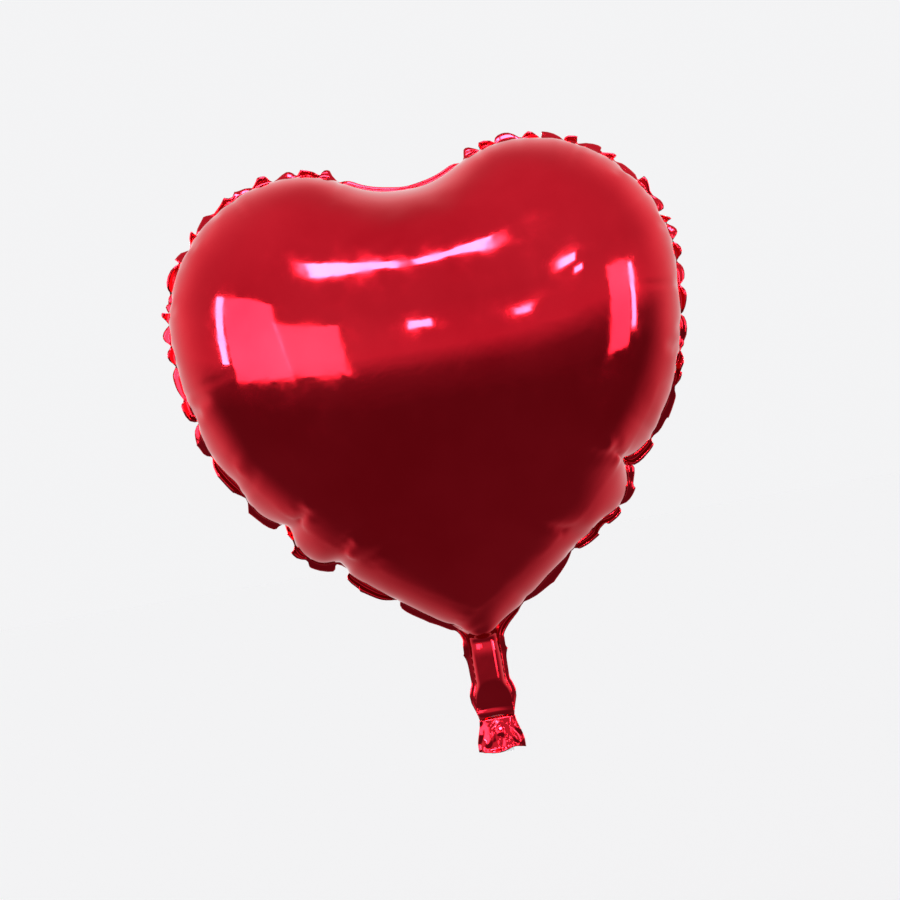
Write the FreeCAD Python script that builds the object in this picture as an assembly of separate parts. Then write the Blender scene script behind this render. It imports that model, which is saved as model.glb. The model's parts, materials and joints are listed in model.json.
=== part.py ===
import FreeCAD, Part
import math
import os

# Heart-shaped foil balloon, filled with gas. Millimetres, +Z up, front facing -Y.
# The origin is the middle of the neck's root, under the heart's point: there the ribbon is
# tied and there the neck bends. The heart stands above it, the neck and tail hang below it.
# Each film is drawn thicker than the real one, so that it is a sound solid.

# ---- the heart, measured along its weld ----
heart_width = 358.0        # across the two lobes
heart_height = 339.0       # from the neck's root to the top of the lobes
heart_depth = 190.0        # front to back at the crown
lobe_spread = 144.0        # between the middles of the two round lobes
notch_depth = 11.2         # the shallow hollow between the lobes, below their tops
flank_bow = 13.2           # how far the side bows out before it runs straight to the neck, degrees
crown_height = 205.0       # the deepest place of the dome, above the neck's root
point_slimness = 0.65      # how fast the dome falls towards the neck; 0.5 is an ellipse

# ---- films and welds ----
film = 0.6                 # foil film
weld_gap = 0.2             # sealant between two foils that are welded together
flange_width = 7.0         # welded rim round the heart
valve_film = 0.4           # clear film of the valve
coat = 0.2                 # heat-resistant coat that keeps the filling channel open

# ---- neck and tail ----
neck_radius = 10.5         # the round, gas-filled neck
neck_flange = 3.5          # welded strip down each side
root_fold = 9.0            # film each side of the root that creases when the neck bends
neck_length = 57.0         # from the root to the foot of the cross seal
seal_height = 5.0          # cross seal at the neck's foot
taper_length = 20.0        # the neck flattens over this stretch above the cross seal
seal_depth = 3.2           # front to back over the flattened cross seal
tail_length = 24.0         # the open end below the fold line
mouth_depth = 10.0         # front to back of the open mouth
tail_flare = 1.0           # the mouth is this much wider on each side than the flattened neck
fold_radius = 1.1          # the crease that the tail end turns on
tail_top_depth = 2.0       # front to back of the tail just under its crease
valve_width = 16.0         # each clear film of the valve
lip_length = 40.0          # the part of the valve that opens and shuts
inlet_start = 6.0          # the valve's inlet films begin this far below the fold line

# ---- clearances ----
body_gap = 0.3             # between films that move against each other
inlet_gap = 0.1            # between the valve's inlet films and the foil

# ---- worked out from the sizes above ----
half_width = heart_width / 2
lobe_x = lobe_spread / 2
lobe_radius = half_width - lobe_x
lobe_z = heart_height - lobe_radius
notch_radius = (lobe_x ** 2 + (lobe_radius - notch_depth) ** 2 - lobe_radius ** 2) / (2 * notch_depth)
notch_z = heart_height - notch_depth + notch_radius
flat_half = math.pi * neck_radius / 2           # the round neck pressed flat
fold_z = -(neck_length + body_gap + fold_radius)
lip_foot_z = -neck_length + seal_height + body_gap + valve_film / 2
lip_middle_y = -coat / 2 - valve_film / 2       # the front lip's middle plane
flank_chord = math.atan2(half_width - neck_radius, lobe_z)
flank_turn = flank_chord + math.radians(flank_bow)      # the straight run, from upright
flank_reach = math.hypot(half_width - neck_radius, lobe_z)
flank_radius = flank_reach * math.sin(flank_turn - flank_chord) / (1 - math.cos(flank_turn))
flank_x = half_width - flank_radius
out_of_the_way = 2 * (heart_width + heart_height)
quarter_pull = 4 * (math.sqrt(2) - 1) / 3      # handles of a Bezier quarter of an ellipse

# ---- how finely the curved surfaces are laid out ----
rim_samples = (6, 22, 16, 12)   # along the notch, lobe, flank and straight run of one side
dome_rings = 16
root_steps = 4
neck_steps = 16

os.makedirs("parts", exist_ok=True)


def point(x, z, y=0.0):
    return FreeCAD.Vector(x, y, z)


def box(low, high):
    """A box between two corners."""
    size = [b - a for a, b in zip(low, high)]
    return Part.makeBox(size[0], size[1], size[2], FreeCAD.Vector(*low))


def mirrored(shape, normal):
    return shape.mirror(FreeCAD.Vector(0, 0, 0), normal)


def to_back(shape):
    """The same piece on the balloon's back."""
    return mirrored(shape, FreeCAD.Vector(0, 1, 0))


def save(node, *solids):
    shape = solids[0] if len(solids) == 1 else Part.makeCompound(list(solids))
    shape.exportStep("parts/%s.step" % node)


# ---------------------------------------------------------------- the heart's outline

def outline_edges(grow):
    """Right half of the outline, from the notch round the lobe to the point under the heart."""
    lobe_r = lobe_radius + grow
    notch_r = notch_radius - grow
    flank_r = flank_radius + grow

    def on_circle(x, z, radius, angle):
        return point(x + radius * math.cos(angle), z + radius * math.sin(angle))

    join = math.atan2(notch_z - lobe_z, -lobe_x)
    opposite = join - math.pi
    bottom = -math.pi / 2
    notch_start = on_circle(0, notch_z, notch_r, bottom)
    notch_mid = on_circle(0, notch_z, notch_r, (bottom + opposite) / 2)
    notch_end = on_circle(0, notch_z, notch_r, opposite)
    lobe_mid = on_circle(lobe_x, lobe_z, lobe_r, join / 2)
    widest = on_circle(lobe_x, lobe_z, lobe_r, 0)
    flank_mid = on_circle(flank_x, lobe_z, flank_r, -flank_turn / 2)
    flank_end = on_circle(flank_x, lobe_z, flank_r, -flank_turn)
    heart_point = point(0, flank_end.z - flank_end.x / math.tan(flank_turn))
    return [
        Part.Arc(notch_start, notch_mid, notch_end).toShape(),
        Part.Arc(notch_end, lobe_mid, widest).toShape(),
        Part.Arc(widest, flank_mid, flank_end).toShape(),
        Part.LineSegment(flank_end, heart_point).toShape(),
    ]


def heart_face(grow):
    right = outline_edges(grow)
    left = [mirrored(edge, FreeCAD.Vector(1, 0, 0)) for edge in right]
    return Part.Face(Part.Wire(Part.__sortEdges__(right + left)))


def half_width_at(z, grow):
    """Half the outline's width at a height below the notch."""
    right = outline_edges(grow)
    level = Part.LineSegment(point(0, z), point(out_of_the_way, z)).toShape()
    for edge in right[1:]:
        near, pairs, _ = edge.distToShape(level)
        if near < 1e-6:
            return pairs[0][0].x
    return 0.0


# ---------------------------------------------------------------- the domed panels

def centre_bulge(z, lowest):
    """Depth on the centre line below the crown, as a share of the depth at the crown."""
    fall = (crown_height - z) / (crown_height - lowest)
    return (1 - fall ** 2) ** point_slimness


def dome_solid(inset):
    """The gas space in front of the weld, or the same space smaller by inset all round."""
    depth = heart_depth / 2 - inset
    samples = []
    for edge, count in zip(outline_edges(-inset), rim_samples):
        samples += edge.discretize(Number=count)[:-1]
    samples.append(outline_edges(-inset)[3].Vertexes[-1].Point)
    lowest = samples[-1].z
    rows = []
    for rim in samples:
        row = []
        for ring in range(dome_rings + 1):
            share = math.sin(math.pi / 2 * ring / dome_rings)
            x = share * rim.x
            z = crown_height + share * (rim.z - crown_height)
            if ring == dome_rings:
                bulge = 0.0
            elif rim.z >= crown_height:
                bulge = math.sqrt(1 - share ** 2)
            else:
                across = min(1.0, x / half_width_at(z, -inset))
                bulge = centre_bulge(z, lowest) * math.sqrt(1 - across ** 2)
            row.append(point(x, z, -depth * bulge))
        rows.append(row)
    surface = Part.BSplineSurface()
    surface.interpolate(rows)
    skin = surface.toShape()
    skins = [skin, mirrored(skin, FreeCAD.Vector(1, 0, 0))]
    rim_edges = [edge for half in skins for edge in half.Edges
                 if edge.Length > film and edge.BoundBox.YLength < film]
    base = Part.Face(Part.Wire(Part.__sortEdges__(rim_edges)))
    shell = Part.makeShell(skins + [base])
    shell.sewShape()
    return Part.makeSolid(shell)


def heart_ring(thickness):
    """The welded rim, flat, standing in front of the seam plane by its thickness."""
    face = heart_face(flange_width).cut(heart_face(-film / 2))
    return face.extrude(FreeCAD.Vector(0, -thickness, 0))


def above_root(shape):
    """What is left of a heart piece where the creased stretch of the root begins."""
    far = out_of_the_way
    return shape.cut(box((-far, -far, -far), (far, far, root_fold)))


def front_panel():
    shell = dome_solid(0).fuse(heart_ring(film)).cut(dome_solid(film))
    shell.translate(FreeCAD.Vector(0, -weld_gap / 2, 0))
    return above_root(shell)


def perimeter_seal():
    ring = heart_ring(weld_gap)
    ring.translate(FreeCAD.Vector(0, weld_gap / 2, 0))
    return above_root(ring)


# ---------------------------------------------------------------- tubes of two films

class Section:
    """One level of a run of two films: half its width and depth, and its welded strip."""

    def __init__(self, z, half_w, half_d, flange):
        self.z = z
        self.half_w = half_w
        self.half_d = half_d
        self.flange = flange

    def front_half(self, inset):
        """The front half of the gas space, as a rounded arc closed by a straight line."""
        w = self.half_w - inset
        d = self.half_d - inset
        ends = (point(w, self.z), point(0, self.z, -d), point(-w, self.z))
        edges = []
        for start, end in zip(ends, ends[1:]):
            corner = point(w if start.x > 0 else -w, self.z, -d)
            curve = Part.BezierCurve()
            curve.setPoles([start, start + (corner - start) * quarter_pull,
                            end + (corner - end) * quarter_pull, end])
            edges.append(curve.toShape())
        edges.append(Part.LineSegment(ends[2], ends[0]).toShape())
        return Part.Wire(edges)


def blend(low, high, share):
    """From low to high, level at both ends."""
    return low + (high - low) * share * share * (3 - 2 * share)


def gas_space(sections, inset):
    """The space inside the front film, standing on the seam plane of the front foil."""
    space = Part.makeLoft([level.front_half(inset) for level in sections], True, False)
    space.translate(FreeCAD.Vector(0, -weld_gap / 2, 0))
    return space


def side_strips(sections, near_y, far_y):
    """The welded strips down both sides, between two distances behind the seam plane."""
    inner = [point(level.half_w - film, level.z, far_y) for level in sections]
    outer = [point(level.half_w + level.flange, level.z, far_y) for level in sections]
    face = Part.Face(Part.makePolygon(inner + outer[::-1] + inner[:1]))
    right = face.extrude(FreeCAD.Vector(0, near_y - far_y, 0))
    return [right, mirrored(right, FreeCAD.Vector(1, 0, 0))]


def front_film(sections):
    strips = side_strips(sections, -weld_gap / 2 - film, -weld_gap / 2)
    outside = gas_space(sections, 0).fuse(strips)
    return outside.cut(gas_space(sections, film))


def side_seals(sections):
    return side_strips(sections, -weld_gap / 2, weld_gap / 2)


# ---------------------------------------------------------------- the creased root

def root_sections():
    lowest = outline_edges(0)[3].Vertexes[-1].Z
    top = root_fold - body_gap
    bottom = -top
    top_w = half_width_at(root_fold, 0)
    top_d = heart_depth / 2 * centre_bulge(root_fold, lowest)
    top_flange = half_width_at(root_fold, flange_width) - top_w
    levels = []
    for step in range(root_steps + 1):
        share = step / root_steps
        levels.append(Section(
            top + (bottom - top) * share,
            blend(top_w, neck_radius, share),
            blend(top_d, neck_radius, share),
            blend(top_flange, neck_flange, share)))
    return levels


# ---------------------------------------------------------------- the neck

def neck_sections():
    """Round under the root, then pressed flat over the cross seal."""
    taper_end = -neck_length + seal_height
    taper_start = taper_end + taper_length
    levels = []
    for step in range(neck_steps + 1):
        z = -root_fold - (neck_length - root_fold) * step / neck_steps
        share = min(1.0, max(0.0, (taper_start - z) / taper_length))
        half_d = blend(neck_radius, seal_depth / 2, share)
        spread = (flat_half ** 2 - neck_radius ** 2) * (half_d / neck_radius) ** 2
        levels.append(Section(z, math.sqrt(flat_half ** 2 - spread), half_d, neck_flange))
    return levels


def seal_band(low_x, high_x, low_y, high_y):
    """A block over the cross seal's height."""
    return box((low_x, low_y, -neck_length), (high_x, high_y, -neck_length + seal_height))


def valve_weld(sections):
    """The stretch of the front valve film that is welded to the foil."""
    far = out_of_the_way
    band = seal_band(-valve_width / 2, valve_width / 2, -far, -coat / 2)
    return gas_space(sections, film).common(band)


def cross_seals(sections):
    """The two foils welded to each other on both sides of the valve."""
    space = gas_space(sections, film)
    end = sections[-1].half_w - film
    far = out_of_the_way
    right = seal_band(valve_width / 2, end, -weld_gap / 2, weld_gap / 2)
    band = seal_band(valve_width / 2, far, -far, far)
    right = right.fuse([space.common(band), to_back(space.common(band))]).removeSplitter()
    return [right, mirrored(right, FreeCAD.Vector(1, 0, 0))]


def valve_lip():
    """The front film of the valve, free above the cross seal, with a rounded foot."""
    half = valve_film / 2
    sheet = box((-valve_width / 2, lip_middle_y - half, lip_foot_z),
                (valve_width / 2, lip_middle_y + half, lip_foot_z + lip_length))
    foot = point(-valve_width / 2, lip_foot_z, lip_middle_y)
    return sheet.fuse(Part.makeCylinder(half, valve_width, foot, FreeCAD.Vector(1, 0, 0)))


# ---------------------------------------------------------------- the open tail end

def tail_sections(start):
    """From a distance under the crease down to the mouth."""
    levels = []
    for share in (start / tail_length, 0.5 + start / tail_length / 2, 1.0):
        levels.append(Section(
            fold_z - tail_length * share,
            flat_half + tail_flare * share,
            (tail_top_depth + (mouth_depth - tail_top_depth) * share) / 2,
            neck_flange))
    return levels


def crease():
    """The pressed bar along the fold, which the tail end turns on."""
    reach = flat_half + neck_flange
    return Part.makeCylinder(fold_radius, 2 * reach, point(-reach, fold_z), FreeCAD.Vector(1, 0, 0))


def tail_front_film():
    far = out_of_the_way
    in_front = box((-far, -far, -far), (far, -weld_gap / 2, far))
    return front_film(tail_sections(0)).fuse(crease().common(in_front))


def tail_seals():
    far = out_of_the_way
    between = box((-far, -weld_gap / 2, -far), (far, weld_gap / 2, far))
    bar = crease().common(between)
    return bar.fuse(side_seals(tail_sections(0)))


def valve_inlet():
    """The front film of the valve below the crease, lying along the inside of the foil."""
    levels = tail_sections(inlet_start)
    outer_inset = film + inlet_gap
    film_layer = gas_space(levels, outer_inset).cut(gas_space(levels, outer_inset + valve_film))
    far = out_of_the_way
    return film_layer.common(box((-valve_width / 2, -far, -far), (valve_width / 2, far, far)))


# ---------------------------------------------------------------- the balloon

front = front_panel()
save("front_panel", front)
save("back_panel", to_back(front))
save("perimeter_seal", perimeter_seal())

root = root_sections()
root_front = front_film(root)
save("root_front_film", root_front)
save("root_back_film", to_back(root_front))
save("root_side_seals", *side_seals(root))

neck = neck_sections()
neck_front = front_film(neck)
save("neck_front_film", neck_front)
save("neck_back_film", to_back(neck_front))
save("neck_side_seals", *side_seals(neck))
save("cross_seals", *cross_seals(neck))

front_weld = valve_weld(neck)
save("valve_front_weld", front_weld)
save("valve_back_weld", to_back(front_weld))
save("release_coat", seal_band(-valve_width / 2, valve_width / 2, -coat / 2, coat / 2))
save("valve_front_lip", valve_lip())
save("valve_back_lip", to_back(valve_lip()))

tail_front = tail_front_film()
save("tail_front_film", tail_front)
save("tail_back_film", to_back(tail_front))
save("tail_seals", tail_seals())
inlet = valve_inlet()
save("valve_front_inlet", inlet)
save("valve_back_inlet", to_back(inlet))
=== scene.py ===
import json
import math
import random

import bmesh
import bpy
from mathutils import Matrix, Vector, kdtree, noise

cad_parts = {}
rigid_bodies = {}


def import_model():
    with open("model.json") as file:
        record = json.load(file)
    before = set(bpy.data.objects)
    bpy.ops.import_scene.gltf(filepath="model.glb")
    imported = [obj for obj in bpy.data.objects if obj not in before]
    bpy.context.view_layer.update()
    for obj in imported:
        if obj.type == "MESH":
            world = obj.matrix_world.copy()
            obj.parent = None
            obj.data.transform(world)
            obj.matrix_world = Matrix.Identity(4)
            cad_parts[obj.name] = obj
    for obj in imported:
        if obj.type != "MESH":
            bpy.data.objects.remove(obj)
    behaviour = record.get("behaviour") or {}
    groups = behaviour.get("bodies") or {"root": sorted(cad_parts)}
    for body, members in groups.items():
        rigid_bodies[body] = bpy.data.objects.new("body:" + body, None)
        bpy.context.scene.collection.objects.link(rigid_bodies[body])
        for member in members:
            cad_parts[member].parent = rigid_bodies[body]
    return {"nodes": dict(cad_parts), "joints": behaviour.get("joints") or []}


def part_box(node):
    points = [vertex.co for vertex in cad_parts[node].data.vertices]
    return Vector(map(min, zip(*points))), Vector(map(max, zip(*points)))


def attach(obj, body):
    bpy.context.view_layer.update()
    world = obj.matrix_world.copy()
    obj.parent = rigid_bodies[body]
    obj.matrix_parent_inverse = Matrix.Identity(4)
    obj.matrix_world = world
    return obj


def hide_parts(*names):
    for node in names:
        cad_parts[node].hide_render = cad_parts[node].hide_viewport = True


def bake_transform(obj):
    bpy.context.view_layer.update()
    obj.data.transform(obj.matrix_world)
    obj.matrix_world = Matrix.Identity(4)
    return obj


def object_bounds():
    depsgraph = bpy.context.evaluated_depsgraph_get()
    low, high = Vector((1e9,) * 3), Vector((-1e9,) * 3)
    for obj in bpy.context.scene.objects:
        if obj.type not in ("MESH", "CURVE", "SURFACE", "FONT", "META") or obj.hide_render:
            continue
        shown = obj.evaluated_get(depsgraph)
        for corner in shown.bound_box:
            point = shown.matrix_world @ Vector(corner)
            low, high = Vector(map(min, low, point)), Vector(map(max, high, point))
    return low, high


for leftover in list(bpy.data.objects):
    bpy.data.objects.remove(leftover)
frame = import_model()
cad_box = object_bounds()

# ---------------------------------------------------------------- the flat cut
# The balloon starts as two sheets of metallised film, cut to one flat heart with a tail. A heat seal
# runs a little inside the cut edge: round the heart, down both sides of the neck, across its foot.
seam_width = 0.434                      # the flat heart, across its seal
seam_height = 0.412                     # from the neck's root to the tops of the lobes
lobe_radius = 0.155
notch_depth = 0.003                     # a shallow hollow, which deepens as the heart fills
flank_radius = 0.240
touching = 1e-6                         # two places this near are one
neck_half = 0.0165                      # half the flat neck, to its seal
web_radius = 0.016                      # the hollow corner between the heart and its neck
heart_weld = 0.007                      # sealed rim outside the seam
neck_weld = 0.0035
cell = 0.005   # the film is worked as a net of cells this big
fold_z = next(j for j in frame["joints"] if j["name"] == "tail_end_fold")["pos_m"][2]
seal_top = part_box("release_coat")[1][2]

lobe_x = seam_width / 2 - lobe_radius
lobe_z = seam_height - lobe_radius
notch_radius = (lobe_x ** 2 + (lobe_radius - notch_depth) ** 2 - lobe_radius ** 2) / (2 * notch_depth)
notch_z = seam_height - notch_depth + notch_radius
flank_x = seam_width / 2 - flank_radius
flank_turn = (math.atan2(lobe_z, neck_half - flank_x)
              - math.acos(flank_radius / math.hypot(flank_x - neck_half, lobe_z)))
web_x = neck_half + web_radius
web_z = -web_radius * math.tan(flank_turn / 2)
sideways = Vector((0, 1, 0))


def swing(bm, vert, middle, angle, radius):
    """Carries a vertex along an arc and gives back its far end."""
    steps = max(1, round(abs(angle) * radius / cell))
    arc = bmesh.ops.spin(bm, geom=[vert], cent=middle, axis=sideways, angle=angle, steps=steps)
    return next(g for g in arc["geom_last"] if isinstance(g, bmesh.types.BMVert))


def run_to(bm, vert, x, z, length):
    """Carries a vertex straight to a place and gives back its far end."""
    steps = max(1, round(length / cell))
    stride = (Vector((x, 0, z)) - vert.co) / steps
    line = bmesh.ops.spin(bm, geom=[vert], cent=(0, 0, 0), dvec=stride, axis=sideways, angle=0,
                          steps=steps)
    return next(g for g in line["geom_last"] if isinstance(g, bmesh.types.BMVert))


def seam_line(bm):
    """The closed seam round the heart, down the neck and across its foot. Gives its edges."""
    join = math.atan2(notch_z - lobe_z, -lobe_x)
    dip = math.atan2(lobe_x, notch_z - lobe_z)
    vert = bm.verts.new((0, 0, seam_height - notch_depth))
    vert = swing(bm, vert, (0, 0, notch_z), -dip, notch_radius)
    vert = swing(bm, vert, (lobe_x, 0, lobe_z), join, lobe_radius)
    vert = swing(bm, vert, (flank_x, 0, lobe_z), flank_turn, flank_radius)
    straight = math.sqrt((neck_half - flank_x) ** 2 + lobe_z ** 2 - flank_radius ** 2)
    vert = run_to(bm, vert, web_x - web_radius * math.cos(flank_turn),
                  web_z + web_radius * math.sin(flank_turn), straight)
    vert = swing(bm, vert, (web_x, 0, web_z), -flank_turn, web_radius)
    vert = run_to(bm, vert, neck_half, seal_top, web_z - seal_top)
    run_to(bm, vert, 0, seal_top, neck_half)
    bmesh.ops.mirror(bm, geom=bm.verts[:] + bm.edges[:], axis="X", merge_dist=touching)
    return bm.edges[:]


# ---------------------------------------------------------------- the flat envelope
# The two foils lie face to face, silver side in, and are joined only along the seam. Here they are
# a net of small cells inside that seam. The sealed rim outside it is added once they are blown up.
FRONT, BACK = 0, 1
least_depth = 0.55                      # cells: the net keeps this far inside the seam
apart_depth = 0.3                       # cells: the foils lie apart from here inwards
half_apart = 0.0005

flat = bmesh.new()
seam = seam_line(flat)
seam_verts = flat.verts[:]

run = {}
notch = max((vert for vert in seam_verts if abs(vert.co.x) < touching), key=lambda vert: vert.co.z)
for first_edge in notch.link_edges:
    vert, edge, distance = notch, first_edge, 0.0
    while vert == notch or abs(vert.co.x) > touching:
        vert = edge.other_vert(vert)
        distance += edge.calc_length()
        run[vert] = distance
        edge = next(other for other in vert.link_edges if other != edge)
run[notch] = 0.0

outward = {}
finder = kdtree.KDTree(len(seam_verts))
for number, vert in enumerate(seam_verts):
    before, after = (edge.other_vert(vert) for edge in vert.link_edges)
    normal = (before.co - after.co).normalized().cross(sideways)
    middle = Vector((0, 0, lobe_z)) if vert.co.z > 0 else Vector((0, 0, vert.co.z))
    if vert.co.z <= seal_top + touching and abs(vert.co.x) < neck_half - touching:
        middle = Vector((vert.co.x, 0, 0))
    if normal.dot(vert.co - middle) < 0:
        normal.negate()
    further = max(before, after, key=lambda other: run[other])
    tangent = (further.co - vert.co).normalized() if run[further] > run[vert] else Vector()
    outward[number] = (run[vert], normal, tangent)
    finder.insert(vert.co, number)
finder.balance()


def depth_inside(place):
    """How far a place lies inside the seam; less than nothing outside it."""
    nearest, number, _ = finder.find(place)
    return (nearest - place).dot(outward[number][1])


def along_seam(place):
    """Distance down the flat seam, from the notch to beside a place."""
    nearest, number, _ = finder.find(place)
    return outward[number][0] + (place - nearest).dot(outward[number][2])


columns = 2 * math.ceil(seam_width / 2 / cell)
rows = math.ceil((seam_height - seal_top) / cell)
stand = (Matrix.Translation((0, 0, seal_top + rows * cell / 2)) @ Matrix.Rotation(math.pi / 2, 4, "X")
         @ Matrix.Diagonal((columns * cell / 2, rows * cell / 2, 1, 1)))
grid = bmesh.ops.create_grid(flat, x_segments=columns, y_segments=rows, size=1, matrix=stand)
outside = [vert for vert in grid["verts"] if depth_inside(vert.co) < least_depth * cell]
bmesh.ops.delete(flat, geom=outside, context="VERTS")
kept_edges = set(seam)
bare = [edge for edge in flat.edges if edge.is_wire and edge not in kept_edges]
bmesh.ops.delete(flat, geom=bare, context="EDGES")
bmesh.ops.delete(flat, geom=[vert for vert in flat.verts if not vert.link_edges], context="VERTS")
hem = [edge for edge in flat.edges if len(edge.link_faces) < 2]
bmesh.ops.triangle_fill(flat, edges=hem, use_beauty=True)

front_faces = flat.faces[:]
twin = bmesh.ops.duplicate(flat, geom=front_faces)
back_faces = [g for g in twin["geom"] if isinstance(g, bmesh.types.BMFace)]
for faces, side, layer in ((front_faces, -1, FRONT), (back_faces, 1, BACK)):
    for face in faces:
        face.normal_update()
        face.material_index = layer
    bmesh.ops.reverse_faces(flat, faces=[face for face in faces if face.normal.y * side < 0])
    inner = {vert for face in faces for vert in face.verts if depth_inside(vert.co) > apart_depth * cell}
    bmesh.ops.translate(flat, verts=list(inner), vec=(0, side * half_apart, 0))
shared = [vert for vert in flat.verts if abs(vert.co.y) < touching]
bmesh.ops.remove_doubles(flat, verts=shared, dist=touching)


# ---------------------------------------------------------------- blowing it up
# Gas pushes the two foils apart. The film hardly stretches, so round the lobes the seam has to
# gather as the heart rounds out, and less so down the straight flanks.
scale = 10                                  # the cloth solver is steadier on a bigger cloth
gathering = 0.26                            # how much the seam gathers round the lobes
low_share = 0.10                            # and beside the neck, as a share of that
gather_reach = 0.14                         # how far in from the seam the film still gathers
gather_fall = 2.2                           # how fast it dies away over that reach
notch_reach = 0.20                          # the film round the notch gathers too, this far out
notch_share = 0.75                          # and by this share of the gathering
last_frame = 30                             # the steps that the film is given to fill out


def ease(share):
    """From 0 to 1, level at both ends."""
    share = max(0.0, min(1.0, share))
    return share * share * (3 - 2 * share)


cut_place = flat.verts.layers.float_vector.new("cut_place")
gathers = []
for vert in flat.verts:
    place = Vector((vert.co.x, 0, vert.co.z))
    vert[cut_place] = place
    share = max(0.0, 1 - max(0.0, depth_inside(place)) / gather_reach) ** gather_fall
    share *= low_share + (1 - low_share) * ease((place.z - 0.04) / 0.24)
    from_notch = (place - Vector((0, 0, seam_height))).length
    share = max(share, notch_share * ease(1 - from_notch / notch_reach))
    gathers.append(share * ease(place.z / 0.05))
bmesh.ops.scale(flat, verts=flat.verts, vec=(scale, scale, scale))
flat_mesh = bpy.data.meshes.new("envelope")
flat.to_mesh(flat_mesh)
flat.free()
for side_name in ("front_side", "back_side"):
    flat_mesh.materials.append(bpy.data.materials.new(side_name))
envelope = bpy.data.objects.new("envelope", flat_mesh)
bpy.context.scene.collection.objects.link(envelope)
gather = envelope.vertex_groups.new(name="gather")
for number, share in enumerate(gathers):
    gather.add([number], share, "REPLACE")

cloth = envelope.modifiers.new("film", "CLOTH")
film = cloth.settings
film.quality = 6
film.mass = 0.1
film.tension_stiffness = 60
film.compression_stiffness = 60
film.shear_stiffness = 20
film.bending_stiffness = 0.05
film.air_damping = 2
film.shrink_max = gathering
film.vertex_group_shrink = "gather"
film.use_pressure = True
film.uniform_pressure_force = 8
film.effector_weights.gravity = 0
cloth.collision_settings.use_collision = False
cloth.point_cache.frame_start = 1
cloth.point_cache.frame_end = last_frame
for frame_number in range(1, last_frame + 1):
    bpy.context.scene.frame_set(frame_number)
rounding = envelope.modifiers.new("finer", "SUBSURF")
rounding.levels = 1
rounding.render_levels = 1
blown = envelope.evaluated_get(bpy.context.evaluated_depsgraph_get())
blown_mesh = bpy.data.meshes.new_from_object(blown)
bpy.data.objects.remove(envelope)
bpy.context.scene.frame_set(1)

# ---------------------------------------------------------------- the neck and the sealed rim
# Under the heart the film runs on as a round, gas-filled neck, pressed flat where it is welded across.
# Outside the seam the two foils are stuck together in a sealed rim, which is too long for the gathered
# seam and so stands off it in scallops. The blown heart is first brought to its measured size.
SEALED = 2
panel_low, panel_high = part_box("front_panel")
round_radius = -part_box("neck_front_film")[0][1]
flat_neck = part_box("cross_seals")[1][0]
film_wall = 0.0001                          # a foil's thickness, and the space between two welded ones
taper = 0.020                               # the neck flattens over this height
weld_swell = 0.0017                         # half the thickness of the cross seal, over the valve
foot_swell = 0.45                           # share of that left at the crease below the cross seal
low_fullness = 0.24                         # the gas fills the heart out this much more near its neck
rim_wave = 0.0018                           # how far a scallop stands out of the rim's plane
crease_depth = 0.0016                       # of the short creases that run in from the seam
crease_width = 0.0032
crease_span = 0.012                         # past this a crease is no longer felt
taper_top = -0.034                          # the neck's foot is crumpled narrower from here down,
pinch_in = 0.22                             # by this share

envelope = bmesh.new()
envelope.from_mesh(blown_mesh)
cut_place = envelope.verts.layers.float_vector["cut_place"]
bmesh.ops.scale(envelope, verts=envelope.verts, vec=(1 / scale, 1 / scale, 1 / scale))
neck_ring = [vert for vert in envelope.verts if -0.032 < vert[cut_place].z < -0.020]
drop = sum(vert[cut_place].z - vert.co.z for vert in neck_ring) / len(neck_ring)
bmesh.ops.translate(envelope, verts=envelope.verts, vec=(0, 0, drop))
widest = max(vert.co.x for vert in envelope.verts)
tallest = max(vert.co.z for vert in envelope.verts)
deepest = max(vert.co.y for vert in envelope.verts)
stretch = ((panel_high[0] - heart_weld) / widest, -panel_low[1] / deepest,
           (panel_high[2] - heart_weld) / tallest)
bmesh.ops.scale(envelope, verts=envelope.verts, vec=stretch)


def smooth(verts, rounds):
    """Eases the film between its neighbours, a given number of times."""
    for round_number in range(rounds):
        bmesh.ops.smooth_vert(envelope, verts=verts, factor=0.5, use_axis_x=True, use_axis_y=True,
                              use_axis_z=True)


# The net folds more than real film does in the notch, at the heart's point and low on its flanks,
# so it is eased there.
notch_place = Vector((0, 0, seam_height))
point_place = Vector((0, 0, 0.006))
for middle, reach, rounds in ((notch_place, 0.080, 60), (notch_place, 0.130, 25), (point_place, 0.030, 14)):
    smooth([vert for vert in envelope.verts if (vert[cut_place] - middle).length < reach], rounds)
smooth([vert for vert in envelope.verts
        if 0.016 < vert[cut_place].z < 0.17 and depth_inside(vert[cut_place]) < 0.045], 18)
for vert in envelope.verts:
    vert.co.x *= 1 + low_fullness * ease((0.105 - vert.co.z) / 0.070) * ease((vert.co.z + 0.01) / 0.02)


def neck_place(place, depth, side):
    """Where a place of the flat cut lies on the blown neck."""
    share = place.x / (abs(place.x) + max(depth, 0.0))
    flatness = ease((seal_top + taper - place.z) / taper)
    half_depth = round_radius * (1 - flatness) + weld_swell * flatness
    spread = flat_neck ** 2 - round_radius ** 2
    half_width = math.sqrt(flat_neck ** 2 - spread * (half_depth / round_radius) ** 2)
    angle = share * math.pi / 2
    return Vector((half_width * math.sin(angle), side * half_depth * math.cos(angle), place.z))


for vert in envelope.verts:
    place = vert[cut_place]
    necked = ease((0.020 - place.z) / 0.036)
    if necked > 0:
        layers = {face.material_index for face in vert.link_faces}
        side = 0 if len(layers) == 2 else (-1 if FRONT in layers else 1)
        depth = depth_inside(place) if side else 0.0
        vert.co = vert.co.lerp(neck_place(place, depth, side), necked)


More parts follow.
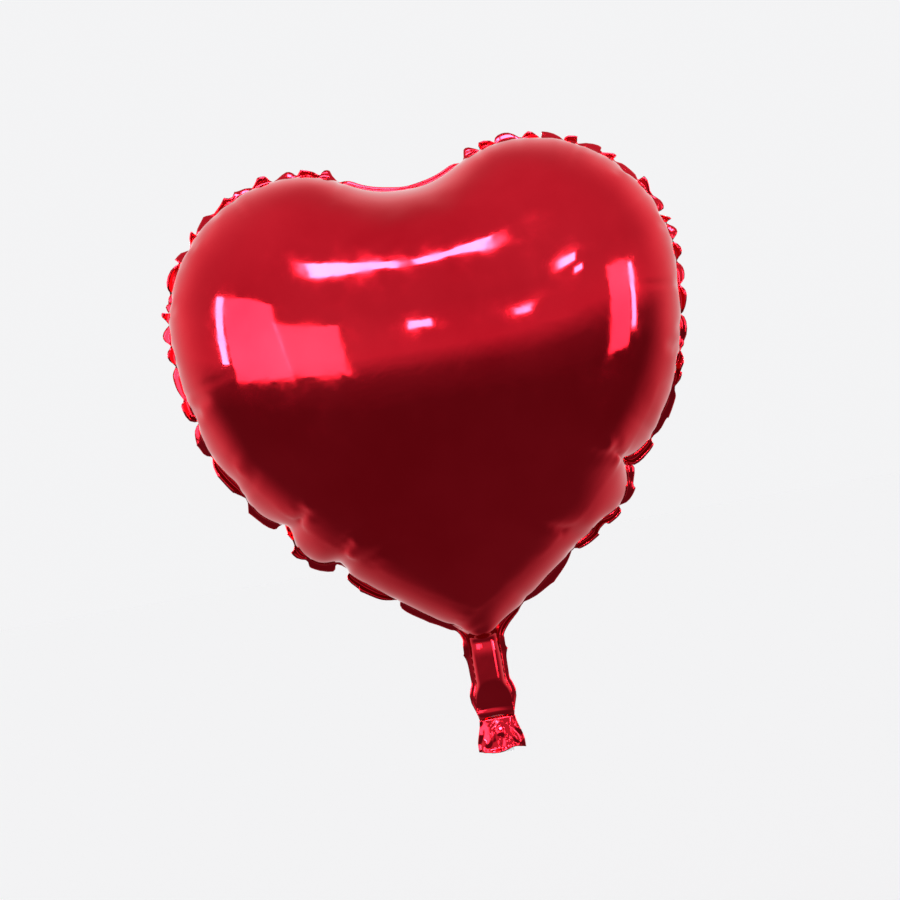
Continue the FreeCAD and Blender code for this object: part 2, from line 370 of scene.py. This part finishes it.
# The seam pinches at uneven steps, close together round the lobes and far apart on the flanks. A
# short crease runs in from each pinch, and the sealed rim bows out between one and the next.
first_pinch, last_pinch = 0.035, 0.64       # distances down the seam, from the notch
lobe_step, flank_step = 0.019, 0.045        # from one pinch to the next
flank_start, flank_blend = 0.26, 0.26       # the steps grow from here, over this distance
chance = random.Random(11)
pinches = {}
for side in (-1, 1):
    pinches[side] = []
    distance = first_pinch
    while distance < last_pinch:
        step = lobe_step + (flank_step - lobe_step) * ease((distance - flank_start) / flank_blend)
        distance += step * chance.uniform(0.8, 1.2)
        reach = chance.choice((0.008, 0.010, 0.014, 0.030))
        pinches[side].append((distance, reach, chance.uniform(0.6, 1.0)))


def between_pinches(place):
    """The pinch before a place, and how far the place is towards the next one, from 0 to 1."""
    line = pinches[1 if place.x > 0 else -1]
    distance = along_seam(place)
    for number in range(len(line) - 1):
        if line[number][0] <= distance < line[number + 1][0]:
            return number, (distance - line[number][0]) / (line[number + 1][0] - line[number][0])
    return None, 0.0


envelope.normal_update()
hollows = []
for vert in envelope.verts:
    place = vert[cut_place]
    inside = max(0.0, depth_inside(place))
    if inside > 0.09 or place.z < 0.012:
        continue
    distance = along_seam(place)
    hollow = 0.0
    for at, reach, strength in pinches[1 if place.x > 0 else -1]:
        if abs(distance - at) < crease_span:
            hollow += strength * math.exp(-((distance - at) / crease_width) ** 2 - inside / reach)
    hollows.append((vert, vert.normal * -hollow * crease_depth))
for vert, shift in hollows:
    vert.co += shift


# The sealed rim runs out from the seam, and its foot covers the cross seal down to the crease.
seam = [edge for edge in envelope.edges if len({face.material_index for face in edge.link_faces}) == 2]
seam_verts = {vert for edge in seam for vert in edge.verts}
rim_shift = {}
for vert in seam_verts:
    place = vert[cut_place]
    beside = [edge.other_vert(vert) for edge in vert.link_edges]
    inner = [other.co for other in beside if other not in seam_verts]
    away = vert.co - sum(inner, Vector()) / len(inner)
    away.y = 0
    flat_normal = outward[finder.find(place)[1]][1]
    away = (away.normalized() + flat_normal).normalized()
    number, share = between_pinches(place)
    bow = math.sin(math.pi * share) ** 0.5
    if place.z < seal_top + 10 * touching:
        corner = abs(place.x) > neck_half - 10 * touching
        away = Vector((math.copysign(neck_weld, place.x) if corner else 0, 0, fold_z - seal_top))
    elif place.z < web_z:
        away *= neck_weld + (heart_weld - neck_weld) * ease((place.z - 2 * web_z) / -web_z)
    elif number is None:
        away *= heart_weld * (0.45 + 0.55 * ease((along_seam(place) - 0.1) / 0.1))
    else:
        away *= heart_weld * (0.20 + 0.75 * bow)
        away.y = rim_wave * bow * (-1) ** number
    rim_shift[vert] = away

for round_number in range(2):
    neighbours = {}
    for vert in rim_shift:
        beside = [edge.other_vert(vert) for edge in vert.link_edges]
        neighbours[vert] = [rim_shift[other] for other in beside if other in rim_shift]
    for vert, shifts in neighbours.items():
        if vert.co.z > fold_z / 2:
            rim_shift[vert] = rim_shift[vert] * 0.5 + sum(shifts, Vector()) * 0.5 / len(shifts)
strip = bmesh.ops.extrude_edge_only(envelope, edges=seam)
rim_faces = [g for g in strip["geom"] if isinstance(g, bmesh.types.BMFace)]
spokes = []
for vert in [g for g in strip["geom"] if isinstance(g, bmesh.types.BMVert)]:
    spoke = next(edge for edge in vert.link_edges if edge.other_vert(vert) in rim_shift)
    vert.co += rim_shift[spoke.other_vert(vert)]
    spokes.append(spoke)
for face in rim_faces:
    face.material_index = SEALED
bmesh.ops.subdivide_edges(envelope, edges=spokes, cuts=2, use_grid_fill=True)
for vert in envelope.verts:
    low = ease((taper_top - vert.co.z) / taper)
    vert.co.x *= 1 - pinch_in * low


# ---------------------------------------------------------------- the two heart foils
# Crimson film, metallised so that it shines like a mirror, silver on the inside. Each foil is one
# sheet from the notch down to the crease under the cross seal.
def foil_layer(keep, name, outside):
    """One foil out of the envelope: its own side of the gas, and its face of the sealed rim."""
    layer = envelope.copy()
    unwanted = [face for face in layer.faces if face.material_index not in (keep, SEALED)]
    bmesh.ops.delete(layer, geom=unwanted, context="FACES")
    bmesh.ops.recalc_face_normals(layer, faces=layer.faces)
    flank = max(layer.faces, key=lambda face: abs(face.normal.y) * (face.material_index == keep))
    if flank.normal.y * outside < 0:
        bmesh.ops.reverse_faces(layer, faces=layer.faces)
    layer.normal_update()
    shifts = [(vert, vert.normal * film_wall / 2) for vert in layer.verts]
    for vert, shift in shifts:
        vert.co += shift
        if vert.co.z < seal_top + film_wall and abs(vert.co.x) < flat_neck:
            down = min(1.0, (seal_top - vert.co.z) / (seal_top - fold_z))
            vert.co.y = outside * (film_wall + weld_swell * (1 - (1 - foot_swell) * max(0.0, down) ** 6)
                                   * math.sqrt(1 - (vert.co.x / flat_neck) ** 2))
    for face in layer.faces:
        face.material_index = 0
        face.smooth = True
    mesh = bpy.data.meshes.new(name)
    layer.to_mesh(mesh)
    layer.free()
    foil = bpy.data.objects.new(name, mesh)
    bpy.context.scene.collection.objects.link(foil)
    return foil


def lined(foil):
    """Gives a foil its thickness and its two faces, crimson outside and silver inside."""
    foil.data.materials.append(crimson)
    foil.data.materials.append(silver)
    wall = foil.modifiers.new("wall", "SOLIDIFY")
    wall.thickness = film_wall
    wall.offset = 1
    wall.material_offset = 1
    wall.material_offset_rim = 0
    return foil


def shader(name, roughness, metallic):
    """A material with its principled node, its links and its object coordinates."""
    material = bpy.data.materials.new(name)
    material.use_nodes = True
    nodes = material.node_tree.nodes
    surface = nodes["Principled BSDF"]
    surface.inputs["Roughness"].default_value = roughness
    surface.inputs["Metallic"].default_value = metallic
    place = nodes.new("ShaderNodeTexCoord").outputs["Object"]
    return material, nodes, material.node_tree.links, surface, place


def foil_finish(name, light, dark):
    """Metallised film: a colour that varies a little, faint haze, and fine wrinkles."""
    material, nodes, links, surface, place = shader(name, 0.07, 1.0)
    cloudy = nodes.new("ShaderNodeTexNoise")
    cloudy.inputs["Scale"].default_value = 9
    cloudy.inputs["Detail"].default_value = 5
    links.new(place, cloudy.inputs["Vector"])
    tint = nodes.new("ShaderNodeValToRGB")
    tint.color_ramp.elements[0].position = 0.35
    tint.color_ramp.elements[0].color = dark
    tint.color_ramp.elements[1].position = 0.65
    tint.color_ramp.elements[1].color = light
    links.new(cloudy.outputs["Fac"], tint.inputs["Fac"])
    links.new(tint.outputs["Color"], surface.inputs["Base Color"])
    scuffs = nodes.new("ShaderNodeTexNoise")
    scuffs.inputs["Scale"].default_value = 70
    scuffs.inputs["Detail"].default_value = 8
    links.new(place, scuffs.inputs["Vector"])
    haze = nodes.new("ShaderNodeMapRange")
    haze.inputs["From Min"].default_value = 0.4
    haze.inputs["From Max"].default_value = 0.8
    haze.inputs["To Min"].default_value = 0.05
    haze.inputs["To Max"].default_value = 0.14
    links.new(scuffs.outputs["Fac"], haze.inputs["Value"])
    links.new(haze.outputs["Result"], surface.inputs["Roughness"])
    wrinkles = nodes.new("ShaderNodeTexNoise")
    wrinkles.inputs["Scale"].default_value = 26
    wrinkles.inputs["Detail"].default_value = 3
    wrinkles.inputs["Distortion"].default_value = 0.6
    links.new(place, wrinkles.inputs["Vector"])
    relief = nodes.new("ShaderNodeBump")
    relief.inputs["Strength"].default_value = 0.25
    relief.inputs["Distance"].default_value = 0.0006
    links.new(wrinkles.outputs["Fac"], relief.inputs["Height"])
    links.new(relief.outputs["Normal"], surface.inputs["Normal"])
    return material


crimson = foil_finish("crimson_foil", (0.80, 0.018, 0.036, 1), (0.66, 0.010, 0.024, 1))
silver = foil_finish("silver_lining", (0.80, 0.80, 0.82, 1), (0.66, 0.66, 0.69, 1))

for keep, name, outside, nodes_shown in (
        (FRONT, "front_heart_foil", -1, ("front_panel", "root_front_film", "neck_front_film")),
        (BACK, "back_heart_foil", 1, ("back_panel", "root_back_film", "neck_back_film"))):
    foil = lined(foil_layer(keep, name, outside))
    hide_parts(*nodes_shown)
    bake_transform(foil)

# ---------------------------------------------------------------- the sealant in the rim
# Each film carries a layer of polyethylene that melts under the sealing bar. Between the two foils it
# shows only as a thin dull line along the rim's cut edge.
sealant_share = 0.6                     # of the space between the foils
sealant, nodes, links, surface, place = shader("sealant", 0.35, 0.0)
surface.inputs["Base Color"].default_value = (0.42, 0.05, 0.07, 1)
band = envelope.copy()
unsealed = [face for face in band.faces if face.material_index != SEALED]
bmesh.ops.delete(band, geom=unsealed, context="FACES")
for face in band.faces:
    face.material_index = 0
    face.smooth = True
band_mesh = bpy.data.meshes.new("rim_sealant")
band.to_mesh(band_mesh)
band.free()
envelope.free()
band_mesh.materials.append(sealant)
rim_sealant = bpy.data.objects.new("rim_sealant", band_mesh)
bpy.context.scene.collection.objects.link(rim_sealant)
wall = rim_sealant.modifiers.new("wall", "SOLIDIFY")
wall.thickness = film_wall * sealant_share
wall.offset = 0
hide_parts("perimeter_seal", "root_side_seals", "neck_side_seals", "cross_seals")
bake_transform(rim_sealant)

# ---------------------------------------------------------------- the open tail end
# Below the crease the two foils go on a little way, sealed only down their sides, so that a nozzle
# can be pushed between them. The open end is soft film: it is crumpled, and its edge curls outwards.
tail_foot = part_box("tail_front_film")[0][2]
tail_length = fold_z - tail_foot
tail_half = flat_neck + neck_weld
tail_cell = 0.001
mouth_opening = 0.0042                  # each foil stands this much further out at the open end
crumple_depth = 0.0020
pleat_depth = 0.0010
edge_wave = 0.0011
lip_curl = 0.0014
top_narrowing, end_spread = 0.66, 0.20  # the crumpled width at the crease, and what it flares by


def tail_foil(name, side):
    """One foil of the tail end, from the crease down to its wavy edge."""
    sheet = bmesh.new()
    columns = round(2 * tail_half / tail_cell)
    rows = round(tail_length / tail_cell)
    stand = (Matrix.Translation((0, 0, (fold_z + tail_foot) / 2)) @ Matrix.Rotation(math.pi / 2, 4, "X")
             @ Matrix.Diagonal((tail_half, tail_length / 2, 1, 1)))
    bmesh.ops.create_grid(sheet, x_segments=columns, y_segments=rows, size=1, matrix=stand)
    for vert in sheet.verts:
        down = max(0.0, (fold_z - vert.co.z) / tail_length)
        inner = max(0.0, 1 - (vert.co.x / flat_neck) ** 2) if abs(vert.co.x) < flat_neck else 0.0
        open_by = (foot_swell * weld_swell + mouth_opening * down ** 0.8) * math.sqrt(inner)
        fold = noise.noise(Vector((vert.co.x * 170, side * 3 * inner, vert.co.z * 140)))
        crumple = crumple_depth * (fold * (1 - inner) + side * abs(fold) * inner)
        pleat = pleat_depth * math.sin(vert.co.x / 0.0040 + 1.0) * (1 - 0.8 * inner)
        lip = ease((down - 0.80) / 0.20)
        vert.co.y = side * (open_by + film_wall / 2) + ease(down * 2) * (crumple + pleat)
        vert.co.y += side * lip_curl * lip * inner
        wave = edge_wave * math.sin(vert.co.x / 0.005 + side * inner)
        vert.co.z += wave * ease(down * 2 - 1) + lip_curl * lip
        vert.co.x *= top_narrowing + end_spread * ease(down * 1.3)
    bmesh.ops.recalc_face_normals(sheet, faces=sheet.faces)
    if sheet.faces[0].normal.y * side < 0:
        bmesh.ops.reverse_faces(sheet, faces=sheet.faces)
    for face in sheet.faces:
        face.smooth = True
    mesh = bpy.data.meshes.new(name)
    sheet.to_mesh(mesh)
    sheet.free()
    foil = bpy.data.objects.new(name, mesh)
    bpy.context.scene.collection.objects.link(foil)
    return lined(foil)


for side, name, nodes_shown in ((-1, "front_tail_foil", ("tail_front_film", "tail_seals")),
                                (1, "back_tail_foil", ("tail_back_film",))):
    foil = tail_foil(name, side)
    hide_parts(*nodes_shown)
    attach(foil, "tail_end")

# ---------------------------------------------------------------- the valve
# Two strips of clear polyethylene inside the neck, welded to the foils at the cross seal and free
# above it, where the gas presses them shut. The matt coat of heat-proof ink between them keeps the
# filling path open when the neck is sealed.
clear, nodes, links, surface, place = shader("clear_film", 0.12, 0.0)
surface.inputs["Base Color"].default_value = (0.92, 0.94, 0.95, 1)
surface.inputs["Transmission Weight"].default_value = 0.9
surface.inputs["IOR"].default_value = 1.5
ripples = nodes.new("ShaderNodeTexWave")
ripples.inputs["Scale"].default_value = 60
ripples.inputs["Distortion"].default_value = 3
links.new(place, ripples.inputs["Vector"])
ripple_bump = nodes.new("ShaderNodeBump")
ripple_bump.inputs["Strength"].default_value = 0.2
ripple_bump.inputs["Distance"].default_value = 0.0002
links.new(ripples.outputs["Fac"], ripple_bump.inputs["Height"])
links.new(ripple_bump.outputs["Normal"], surface.inputs["Normal"])

coat, nodes, links, surface, place = shader("release_coat", 0.85, 0.0)
grains = nodes.new("ShaderNodeTexNoise")
grains.inputs["Scale"].default_value = 900
links.new(place, grains.inputs["Vector"])
grain_tint = nodes.new("ShaderNodeValToRGB")
grain_tint.color_ramp.elements[0].color = (0.72, 0.72, 0.70, 1)
grain_tint.color_ramp.elements[1].color = (0.86, 0.86, 0.84, 1)
links.new(grains.outputs["Fac"], grain_tint.inputs["Fac"])
links.new(grain_tint.outputs["Color"], surface.inputs["Base Color"])

for node, finish in (("valve_front_lip", clear), ("valve_back_lip", clear), ("valve_front_weld", clear),
                     ("valve_back_weld", clear), ("valve_front_inlet", clear), ("valve_back_inlet", clear),
                     ("release_coat", coat)):
    shown = frame["nodes"][node]
    shown.data.materials.clear()
    shown.data.materials.append(finish)

# ---------------------------------------------------------------- the studio
# A pale floor under the floating balloon, tall window lights to the left and right, a pair of
# ceiling panels overhead and a dark lower surround, for the mirror-like film to pick up.
scene = bpy.context.scene
studio = bpy.data.worlds.new("studio")
studio.use_nodes = True
scene.world = studio
sky = studio.node_tree.nodes
sky_links = studio.node_tree.links
backdrop = sky["Background"]
facing = sky.new("ShaderNodeTexCoord").outputs["Generated"]
split = sky.new("ShaderNodeSeparateXYZ")
sky_links.new(facing, split.inputs["Vector"])


def sky_bands(levels):
    """Brightness of the surround, from straight down to straight up."""
    height = sky.new("ShaderNodeMapRange")
    height.inputs["From Min"].default_value = -1
    height.inputs["From Max"].default_value = 1
    sky_links.new(split.outputs["Z"], height.inputs["Value"])
    ramp = sky.new("ShaderNodeValToRGB")
    stops = ramp.color_ramp.elements
    for number, (position, level) in enumerate(levels):
        stop = stops[number] if number < 2 else stops.new(position)
        stop.position = position
        stop.color = (level, level, level, 1)
    sky_links.new(height.outputs["Result"], ramp.inputs["Fac"])
    return ramp.outputs["Color"]


def either(switch, first, second):
    """The first colour where the switch is 0 and the second where it is 1."""
    mix = sky.new("ShaderNodeMix")
    mix.data_type = "RGBA"
    colours = [socket for socket in mix.inputs if socket.type == "RGBA"]
    sky_links.new(switch, mix.inputs["Factor"])
    sky_links.new(first, colours[0])
    sky_links.new(second, colours[1])
    return next(socket for socket in mix.outputs if socket.type == "RGBA")


room = sky_bands(((0.0, 0.16), (1.0, 0.66), (0.40, 0.15), (0.46, 0.24), (0.52, 0.76), (0.66, 0.62)))
wall = sky_bands(((0.0, 0.30), (1.0, 0.60), (0.25, 0.62), (0.44, 0.85), (0.60, 1.0), (0.84, 0.95)))
behind = sky.new("ShaderNodeMapRange")
behind.interpolation_type = "SMOOTHSTEP"
behind.inputs["From Min"].default_value = -0.10
behind.inputs["From Max"].default_value = 0.50
sky_links.new(split.outputs["Y"], behind.inputs["Value"])
paths = sky.new("ShaderNodeLightPath")
pale = sky.new("ShaderNodeRGB")
pale.outputs[0].default_value = (0.90, 0.90, 0.91, 1)
mirrored = either(behind.outputs["Result"], room, wall)
sky_links.new(either(paths.outputs["Is Glossy Ray"], pale.outputs[0], mirrored), backdrop.inputs["Color"])

heart_middle = Vector((0, 0, (panel_high[2] + panel_low[2]) / 2))


def panel_light(name, place, width, height, power, tint):
    """A soft rectangular lamp that faces the heart. Its place is measured from the heart's middle."""
    lamp = bpy.data.lights.new(name, "AREA")
    lamp.shape = "RECTANGLE"
    lamp.size = width
    lamp.size_y = height
    lamp.energy = power
    lamp.color = tint
    lit = bpy.data.objects.new(name, lamp)
    lit.location = heart_middle + Vector(place)
    lit.rotation_euler = (-Vector(place)).to_track_quat("-Z", "Y").to_euler()
    scene.collection.objects.link(lit)
    lit.visible_diffuse = False


panel_light("left_window", (-1.50, -1.15, 0.38), 1.00, 1.00, 17, (1.0, 0.80, 0.84))
panel_light("left_window_far", (-0.90, -1.60, 0.24), 0.62, 0.62, 5, (1.0, 0.78, 0.82))
panel_light("left_strip", (-1.78, -0.60, 0.46), 0.15, 0.80, 16, (1, 1, 1))
panel_light("right_window", (1.75, -0.80, 0.02), 0.42, 0.80, 5, (1.0, 0.85, 0.87))
panel_light("right_strip", (1.84, -0.52, 0.06), 0.10, 0.60, 7, (1, 1, 1))
panel_light("ceiling_left", (-0.40, -1.48, 1.45), 0.55, 0.30, 24, (1.0, 0.94, 0.98))
panel_light("ceiling_right", (0.24, -1.48, 1.45), 0.55, 0.30, 24, (1.0, 0.94, 0.98))
for number, (across, up, size, power) in enumerate(((1.15, 0.80, 0.26, 4.5), (1.40, 0.62, 0.16, 1.6),
                                                    (-0.05, 0.34, 0.15, 1.5), (0.62, 0.30, 0.13, 1.0))):
    panel_light("far_lamp_%d" % number, (across, -1.55, up), size, size * 0.5, power, (1.0, 0.95, 0.97))

floor_height = -0.42
floor_reach = 12
floor_mesh = bpy.data.meshes.new("floor")
floor_plan = bmesh.new()
bmesh.ops.create_grid(floor_plan, x_segments=1, y_segments=1, size=floor_reach,
                      matrix=Matrix.Translation((0, 0, floor_height)))
floor_plan.to_mesh(floor_mesh)
floor_plan.free()
floor = bpy.data.objects.new("floor", floor_mesh)
scene.collection.objects.link(floor)
paint, nodes, links, surface, place = shader("floor_paint", 0.8, 0.0)
surface.inputs["Base Color"].default_value = (0.995, 0.995, 0.995, 1)
surface.inputs["Specular IOR Level"].default_value = 0
floor_mesh.materials.append(paint)
floor.visible_glossy = False

viewing_distance = 1.75
roll = math.radians(10)                 # the balloon hangs a little askew
lens = bpy.data.cameras.new("camera")
lens.lens = 100
camera = bpy.data.objects.new("camera", lens)
scene.collection.objects.link(camera)
look_at = Vector((0, 0, (cad_box[0][2] + cad_box[1][2]) / 2))
camera.location = look_at + Vector((0, -viewing_distance, 0))
tilt = Matrix.Rotation(roll, 3, "Y")
camera.rotation_euler = (tilt @ Matrix.Rotation(math.pi / 2, 3, "X")).to_euler()
scene.camera = camera
scene.view_settings.view_transform = "Standard"
